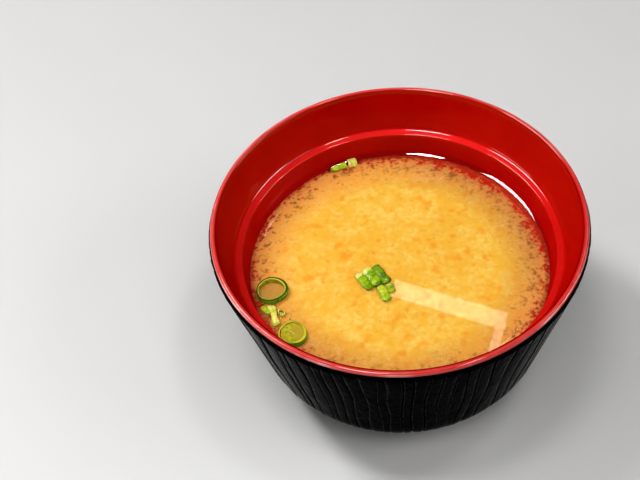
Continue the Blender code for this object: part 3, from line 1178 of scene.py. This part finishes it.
@dataclass
class ScallionLeaf:
    """A cut length of scallion leaf: a bent strip with rounded edges, lumps, fibres and pale cut ends.

    Lengths are millimetres, and curve is the radius that the strip is bent to across its width.
    """

    node: str
    flesh: ScallionFlesh
    slot: Slot
    length: float
    width: float
    thickness: float
    curve: float
    heading: float
    pitch: float = 0.0
    roll: float = 0.0
    shift: Triple = (0.0, 0.0, 0.0)
    taper: float = 0.0
    waist: float = 0.0
    twist: float = 0.0
    lumps: float = 0.15
    pale_start: float = 0.8
    pale_end: float = 0.3
    dark_end: float = 0.0
    dark_side: float = 0.0
    round_start: float = 0.0
    round_end: float = 0.25
    crease: float | None = None
    seed: float = 0.0

    def make(self, material: bpy.types.Material) -> bpy.types.Object:
        """Builds the leaf round the middle of its CAD node.

        Args:
            material: the shared finish.

        Returns:
            The leaf.
        """
        shape = bmesh.new()
        bmesh.ops.create_cube(shape, size=1.0)
        for axis, cuts in ((0, 25), (1, 13), (2, 2)):
            edges = [e for e in shape.edges if abs((e.verts[0].co - e.verts[1].co)[axis]) > 0.5]
            bmesh.ops.subdivide_edges(shape, edges=edges, cuts=cuts, use_grid_fill=True)
        marks = Marks(shape)
        place = (
            Matrix.Translation(self.centre())
            @ Matrix.Rotation(math.radians(self.heading), 4, "Z")
            @ Matrix.Rotation(math.radians(self.pitch), 4, "Y")
            @ Matrix.Rotation(math.radians(self.roll), 4, "X")
        )
        for vert in shape.verts:
            self.mark(vert, marks)
            vert.co = place @ self.bend(*(vert.co * 2.0)) * MM
        bmesh.ops.recalc_face_normals(shape, faces=shape.faces)
        return add_piece(self.node + "_cut", shape, material, self.slot, (self.node,), 55.0)

    def centre(self) -> Vector:
        """The leaf's middle, in millimetres."""
        low, high = (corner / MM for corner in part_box(self.node))
        return (low + high) / 2.0 + Vector(self.shift)

    def mark(self, vert: bmesh.types.BMVert, marks: Marks) -> None:
        """Stores where a point of the flat strip lies.

        Args:
            vert: the point, before it is bent.
            marks: the mesh's layers.
        """
        u, v, w = vert.co * 2.0
        slant = u + 0.15 * v + 0.1 * fractal(v * 2.0, self.seed, 0.0, 1.0, 2)
        line = self.dark_side * eased(v, 0.35, 1.0) + self.dark_end * eased(slant, 0.45, 0.95)
        marks.put(
            vert,
            depth=0.5 - 0.5 * w,
            cut=eased(-slant, 0.50, 0.80) * self.pale_start + eased(slant, 0.86, 1.0) * self.pale_end,
            # The fold is painted dark, as shade in it, over the dip that bend gives it.
            line=line + 0.35 * eased(abs(v), 0.86, 1.0) + 0.75 * self.creased(slant, 0.05),
            patch=0.5 - 0.5 * math.cos(u * 5.0 + self.seed * 2.0),
            across=v * 1.5,
            along=u,
        )

    def bend(self, u: float, v: float, w: float) -> Vector:
        """A point of the finished strip.

        Args:
            u: along it, from -1 to 1.
            v: across it.
            w: through it.

        Returns:
            The point before the strip is laid in place.
        """
        edge = 1.0 - 0.45 * abs(v) ** 8
        tip = 1.0 if abs(u) < 0.97 else 0.72
        narrow = (1.0 - self.taper * (u * 0.5 + 0.5)) * (1.0 - self.waist * math.exp(-((u / 0.4) ** 2)))
        narrow *= self.rounded(-u, self.round_start) * self.rounded(u, self.round_end)
        ragged = 0.20 * fractal(self.seed, v * 2.2, math.copysign(4.0, u), 1.0, 2) if abs(u) > 0.97 else 0.0
        lump = self.lumps * math.cos(u * 5.0 + self.seed * 2.0)
        along = u * self.length / 2.0 + ragged
        uneven = 1.0 + 0.12 * fractal(u * 2.0, self.seed, v, 1.0, 2) + 0.3 * lump
        across = v * self.width / 2.0 * narrow * uneven
        height = w * self.thickness / 2.0 * edge * tip
        bend = across / self.curve
        radius = self.curve + height
        turn = Matrix.Rotation(math.radians(self.twist) * u, 3, "X")
        point = turn @ Vector((0.0, radius * math.sin(bend), radius * math.cos(bend) - self.curve))
        point.x = along
        point.z += lump + 0.20 * fractal(along, across * 1.5, self.seed * 3.0, 1.3, 3)
        point.z -= 0.22 * self.creased(u + 0.15 * v, 0.07)
        return point

    def creased(self, u: float, reach: float) -> float:
        """How far a point is in the fold across the strip, from 0 to 1."""
        return 0.0 if self.crease is None else math.exp(-(((u - self.crease) / reach) ** 2))

    @staticmethod
    def rounded(u: float, share: float) -> float:
        """How much of its width the strip keeps near a rounded end.

        Args:
            u: how far along it is, 1 at the end.
            share: how much of its half is rounded.

        Returns:
            1 before the rounding, and less in it.
        """
        if share <= 0.0 or u <= 1.0 - share:
            return 1.0
        return math.sqrt(max(0.12, 1.0 - ((u - 1.0 + share) / share) ** 2))


def scallion_pieces() -> list[ScallionRing | ScallionLeaf]:
    """Every slice and length of scallion.

    Returns:
        The pieces, in the order they are made.
    """
    green, pale = Slot.GREEN, Slot.PALE
    return [
        ScallionRing(
            "scallion_ring_dark", RING_FLESH, green,
            wall=0.85, turn=0.2, wobble=0.045, lean=(-0.02, 0.03), seed=1.3,
        ),
        ScallionRing(
            "scallion_ring_light", YOLK_FLESH, pale,
            wall=0.62, turn=0.2, wobble=0.06, lean=(0.0, -0.05), seed=2.1,
            lined=False, film=0.5, spread=-0.06, shady=1.0,
        ),
        ScallionRing(
            "scallion_curl", BRIGHT_FLESH, pale,
            wall=0.36, turn=0.4, wobble=0.28, seed=4.0, lined=False,
        ),
        ScallionLeaf(
            "scallion_leaf_dark", DARK_FLESH, green,
            length=7.9, width=3.1, thickness=0.7, curve=2.4, heading=-64.5,
            roll=8.0, pale_start=0.2, pale_end=0.0, dark_end=0.4, dark_side=0.9, round_end=0.15,
            crease=0.15, seed=1.0,
        ),
        ScallionLeaf(
            "scallion_leaf_wide", LEAF_FLESH, green,
            length=7.7, width=3.5, thickness=0.8, curve=2.4, heading=-62.5,
            shift=(0.0, 0.0, 0.35), pale_start=1.15, pale_end=0.0, dark_end=0.9, round_end=0.35,
            crease=0.05, seed=2.0,
        ),
        ScallionLeaf(
            "scallion_leaf_left", LEAF_FLESH, green,
            length=7.4, width=3.2, thickness=0.7, curve=2.2, heading=-65.5,
            roll=-12.0, shift=(0.3, 0.1, 0.1), taper=0.1, pale_start=1.25, pale_end=0.0, dark_end=0.7,
            round_end=0.5, crease=0.1, seed=3.4,
        ),
        ScallionLeaf(
            "scallion_leaf_front", BRIGHT_FLESH, green,
            length=6.2, width=2.3, thickness=0.7, curve=2.2, heading=-73.0,
            pitch=4.0, shift=(0.0, 0.0, 0.1), taper=-0.6, pale_start=0.5, pale_end=0.0, dark_end=0.8,
            round_end=0.55, seed=4.0,
        ),
        ScallionLeaf(
            "scallion_leaf_flake", YOLK_FLESH, green,
            length=3.6, width=2.7, thickness=0.4, curve=2.0, heading=-82.0,
            roll=8.0, dark_side=0.7, round_end=0.6, seed=5.0,
        ),
        ScallionLeaf(
            "scallion_scrap", PALE_FLESH, pale,
            length=7.8, width=2.8, thickness=0.5, curve=1.9, heading=-84.0,
            waist=0.42, twist=25.0, pale_start=0.3, pale_end=0.0, dark_end=0.7, seed=6.0,
        ),
        ScallionLeaf(
            "scallion_scrap_flap", BRIGHT_FLESH, pale,
            length=4.0, width=2.2, thickness=0.4, curve=1.8, heading=-48.0,
            roll=-10.0, shift=(0.3, 0.3, 0.0), pale_start=0.4, round_start=0.5, seed=7.0,
        ),
        ScallionLeaf(
            "scallion_far_green", BRIGHT_FLESH, green,
            length=5.9, width=2.2, thickness=0.8, curve=1.9, heading=198.9,
            roll=-38.0, taper=0.3, lumps=0.05, pale_start=0.0, pale_end=0.0, dark_end=1.3, round_end=0.6,
            crease=-0.1, seed=8.2,
        ),
        ScallionLeaf(
            "scallion_far_pale", PALE_FLESH, pale,
            length=3.1, width=3.1, thickness=0.8, curve=2.6, heading=12.4,
            roll=30.0, lumps=0.05, pale_start=1.1, seed=9.0,
        ),
    ]


@dataclass
class Skirts:
    """The clear broth drawn up a little round every slice and length."""

    level: float
    reach: float = 0.9
    rise: float = 0.12
    square: float = 0.6
    template: float = 10.0
    overlap: float = 0.15
    depth: float = 0.5

    def make(
        self, pieces: list[ScallionRing | ScallionLeaf], material: bpy.types.Material
    ) -> bpy.types.Object:
        """Builds all the skirts as one mesh.

        Args:
            pieces: what stands in the broth.
            material: the finish.

        Returns:
            The piece.
        """
        shape = bmesh.new()
        for piece in pieces:
            if isinstance(piece, ScallionRing):
                low, high = (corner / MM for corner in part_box(piece.node))
                half = (high - low) / 2.0
                self.add(shape, (low + high) / 2.0, half.x, half.y, piece.turn, 1.0)
            else:
                turn = math.radians(piece.heading)
                self.add(shape, piece.centre(), piece.length / 2.0, piece.width / 2.0, turn, self.square)
        return add_piece("broth_skirts", shape, material, Slot.SOUP, (), 60.0)

    def add(
        self,
        shape: bmesh.types.BMesh,
        centre: Vector,
        along: float,
        across: float,
        turn: float,
        square: float,
    ) -> None:
        """Adds one skirt.

        Args:
            shape: the mesh of them all.
            centre: the middle of what it surrounds.
            along: half of its length.
            across: half of its width.
            turn: its heading in radians.
            square: 1 for an oval, less for squarer corners.
        """
        steps = 6
        curve = [self.reach * (1.0 - i / steps) for i in range(steps + 1)]
        section = [(self.template + d, self.level + self.rise * (1.0 - d / self.reach) ** 2) for d in curve]
        under = self.level - self.depth
        section += [(self.template - 2.0 * self.overlap, under), (self.template + self.reach, under)]
        ring = spun(section, 8, 6, True)
        for vert in ring.verts:
            x, y, z = vert.co / MM
            angle = math.atan2(y, x)
            out = math.hypot(x, y) - self.template
            c, s = math.cos(angle), math.sin(angle)
            spot = Vector((along * self.squared(c, square), across * self.squared(s, square), 0.0))
            spot += Vector((c / along, s / across, 0.0)).normalized() * (out - self.overlap)
            spot = Matrix.Rotation(turn, 3, "Z") @ spot
            vert.co = Vector((centre.x + spot.x, centre.y + spot.y, z)) * MM
        mesh = bpy.data.meshes.new("skirt")
        ring.to_mesh(mesh)
        ring.free()
        shape.from_mesh(mesh)
        bpy.data.meshes.remove(mesh)

    @staticmethod
    def squared(part: float, square: float) -> float:
        """A cosine or sine, pushed outwards where corners are squarer."""
        return math.copysign(abs(part) ** square, part)


# ---------------------------------------------------------------- small things


@dataclass
class Crumbs:
    """Tiny flattened lumps of one kind: flecks of scallion on the soup, or drops on the ledge."""

    name: str
    spots: list[Quad]
    slot: Slot
    flatness: float = 0.5

    def make(self, material: bpy.types.Material) -> bpy.types.Object:
        """Builds the lumps as one mesh.

        Args:
            material: their finish.

        Returns:
            The piece.
        """
        shape = bmesh.new()
        for index, (x, y, z, size) in enumerate(self.spots):
            lump = bmesh.ops.create_icosphere(shape, subdivisions=2, radius=size / 2.0)["verts"]
            stretch = 1.0 + 0.35 * math.sin(index * 2.4)
            turn = Matrix.Rotation(index * 1.7, 3, "Z")
            for vert in lump:
                point = turn @ Vector((vert.co.x * stretch, vert.co.y / stretch, vert.co.z * self.flatness))
                vert.co = (point + Vector((x, y, z))) * MM
        return add_piece(self.name, shape, material, self.slot, (), 80.0)


def ledge_drops(bowl: Bowl, rng: random.Random, count: int = 26) -> list[Quad]:
    """Small drops that steam left on the ledge, most of them at the far left.

    Args:
        bowl: the bowl they lie in.
        rng: the random draws.
        count: how many there are.

    Returns:
        The place and the size of each, in millimetres.
    """
    spots = []
    for _ in range(count):
        azimuth = math.radians(rng.gauss(138.0, 13.0) if rng.random() < 0.8 else rng.uniform(20.0, 170.0))
        share = rng.uniform(0.1, 0.9)
        radius = bowl.ledge_edge_radius + (bowl.ledge_radius - bowl.ledge_edge_radius) * share
        height = bowl.height - bowl.ledge_edge_drop + (bowl.ledge_edge_drop - bowl.ledge_drop) * share
        size = rng.uniform(0.3, 0.65)
        spots.append((radius * math.cos(azimuth), radius * math.sin(azimuth), height, size))
    return spots


def soup_flecks(level: float, rng: random.Random, count: int = 22, reach: float = 44.0) -> list[Quad]:
    """Dark flecks of scallion on the soup, the largest near the yellow slice.

    Args:
        level: the soup's level.
        rng: the random draws.
        count: how many there are beside the largest.
        reach: how far out they lie.

    Returns:
        The place and the size of each, in millimetres.
    """
    spots = [(-36.2, -17.6, level, 0.5)]
    for _ in range(count):
        azimuth = rng.uniform(0.0, math.tau)
        radius = reach * math.sqrt(rng.random())
        size = rng.uniform(0.15, 0.34)
        spots.append((radius * math.cos(azimuth), radius * math.sin(azimuth), level, size))
    return spots


# ---------------------------------------------------------------- studio


class Role(Enum):
    """What a light panel does."""

    BOX = "lights the bowl and shows in its gloss"
    WASH = "lights the bowl, unseen in its gloss"
    GLINT = "an oval seen in the gloss only"


@dataclass(frozen=True)
class Panel:
    """A flat light that hangs level over the table, or is turned to the bowl."""

    name: str
    place: Point
    size: Point
    radiance: float
    spin: float = 0.0
    height: float = 1.042
    aimed: bool = False
    role: Role = Role.BOX

    def make(self) -> bpy.types.Object:
        """Adds the light.

        Returns:
            The lamp.
        """
        light = bpy.data.lights.new(self.name, "AREA")
        light.shape = "ELLIPSE" if self.role is Role.GLINT else "RECTANGLE"
        light.size, light.size_y = self.size
        light.energy = self.radiance * math.pi * self.size[0] * self.size[1]
        lamp = bpy.data.objects.new(self.name, light)
        bpy.context.scene.collection.objects.link(lamp)
        lamp.location = (*self.place, self.height)
        turn = Matrix.Rotation(math.radians(self.spin), 4, "Z")
        if self.aimed:
            turn = (-lamp.location).to_track_quat("-Z", "Y").to_matrix().to_4x4() @ turn
        lamp.rotation_euler = turn.to_euler()
        lamp.visible_camera = False
        lamp.visible_glossy = self.role is not Role.WASH
        lamp.visible_diffuse = self.role is not Role.GLINT
        return lamp


@dataclass(frozen=True)
class Studio:
    """Pale table, soft lights and the camera."""

    rim_height: float
    elevation: float = 50.12
    roll: float = 6.5
    distance: float = 334.8
    aside: float = 24.14
    above: float = 4.84
    lens: float = 61.875
    sensor: float = 36.0
    table_half: float = 2.0
    air: Colour = (1.0, 0.99, 0.97)
    air_strength: float = 0.08
    gamma: float = 0.8

    def make_table(self) -> None:
        """A wide pale tabletop under the foot."""
        shape = bmesh.new()
        bmesh.ops.create_grid(shape, x_segments=8, y_segments=8, size=self.table_half)
        mesh = bpy.data.meshes.new("table_top")
        shape.to_mesh(mesh)
        shape.free()
        mesh.materials.append(TableTop().material())
        table = bpy.data.objects.new("table_top", mesh)
        bpy.context.scene.collection.objects.link(table)

    def make_camera(self) -> None:
        """The camera, set by its elevation, roll and distance from the middle of the rim."""
        tilt = math.radians(self.elevation)
        right = Vector((1.0, 0.0, 0.0))
        back = Vector((0.0, -math.cos(tilt), math.sin(tilt)))
        up = back.cross(right)
        place = Vector((0.0, 0.0, self.rim_height)) - right * self.aside
        place = place - up * self.above + back * self.distance
        data = bpy.data.cameras.new("camera")
        data.sensor_width = self.sensor
        data.lens = self.lens
        data.clip_start = 0.01
        data.clip_end = 20.0
        camera = bpy.data.objects.new("camera", data)
        bpy.context.scene.collection.objects.link(camera)
        axes = Matrix((right, up, back)).transposed()
        turned = axes @ Matrix.Rotation(math.radians(-self.roll), 3, "Z")
        camera.matrix_world = Matrix.Translation(place * MM) @ turned.to_4x4()
        bpy.context.scene.camera = camera

    def make_lights(self) -> None:
        """Soft boxes and strips, ovals that glint at the soup's edge, and a bent gleam on the soup."""
        for panel in (
            Panel("window_panel", (-0.584, 0.376), (0.57, 0.20), 21.5, 117.7),
            Panel("window_glint", (-0.6725, 0.3295), (0.57, 0.36), 21.5, 117.7, role=Role.GLINT),
            Panel("front_panel", (-0.1714, -0.083), (0.225, 0.06), 40.0, 162.0),
            Panel("front_glint", (-0.1807, -0.1115), (0.225, 0.26), 27.0, 162.0, role=Role.GLINT),
            Panel("right_panel", (0.276, -0.073), (0.116, 0.100), 32.0, 23.0),
            Panel("right_glint", (0.2955, -0.119), (0.116, 0.10), 32.0, 23.0, role=Role.GLINT),
            Panel(
                "over_panel", (0.06, -0.40), (0.60, 0.40), 4.2,
                height=0.90, aimed=True, role=Role.WASH,
            ),
            Panel("fill_panel", (0.80, -0.28), (0.50, 0.34), 3.6, height=0.70, aimed=True),
            Panel(
                "right_strip", (0.88, -0.12), (0.50, 0.16), 26.0,
                height=0.36, aimed=True, role=Role.GLINT,
            ),
            Panel("left_strip", (-0.94, -0.11), (0.50, 0.16), 11.0, height=0.30, aimed=True),
            Panel("gleam_bar", (0.0796, 0.3420), (0.103, 0.0184), 4.5, -28.8, height=0.542),
            Panel("gleam_leg", (0.1144, 0.3000), (0.008, 0.040), 4.1, -24.7, height=0.542),
        ):
            panel.make()
        world = bpy.data.worlds.new("studio_air")
        world.use_nodes = True
        sockets = world.node_tree.nodes["Background"].inputs
        sockets["Color"].default_value = (*self.air, 1.0)
        sockets["Strength"].default_value = self.air_strength
        bpy.context.scene.world = world

    def make(self) -> None:
        """Everything round the part."""
        self.make_table()
        self.make_camera()
        self.make_lights()
        view = bpy.context.scene.view_settings
        view.view_transform = "Standard"
        view.gamma = self.gamma


def main() -> None:
    """Builds the bowl, the soup, the scallions and the studio."""
    logging.basicConfig(level=logging.INFO, format="%(message)s")
    bowl_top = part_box("bowl")[1] / MM
    soup_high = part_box("soup")[1] / MM
    soup_radius = soup_high.x + SOUP_CLEARANCE
    bowl = Bowl(bowl_top.z, bowl_top.x, soup_high.z, soup_radius)
    bowl.make_lining()
    bowl.make_wall()
    soup = Soup(soup_high.z, soup_radius)
    soup.make_cloud()
    soup.make_broth()
    finishes: dict[str, bpy.types.Material] = {}
    pieces = scallion_pieces()
    for piece in pieces:
        if piece.flesh.name not in finishes:
            finishes[piece.flesh.name] = piece.flesh.material()
        piece.make(finishes[piece.flesh.name])
    broth = ClearBroth().material()
    Skirts(soup_high.z).make(pieces, broth)
    rng = random.Random(5)
    Crumbs("ledge_drops", ledge_drops(bowl, rng), Slot.SOUP).make(broth)
    Crumbs("scallion_flecks", soup_flecks(soup_high.z, rng), Slot.GREEN).make(finishes[DARK_FLESH.name])
    Studio(bowl_top.z).make()


if __name__ == "__main__":
    main()
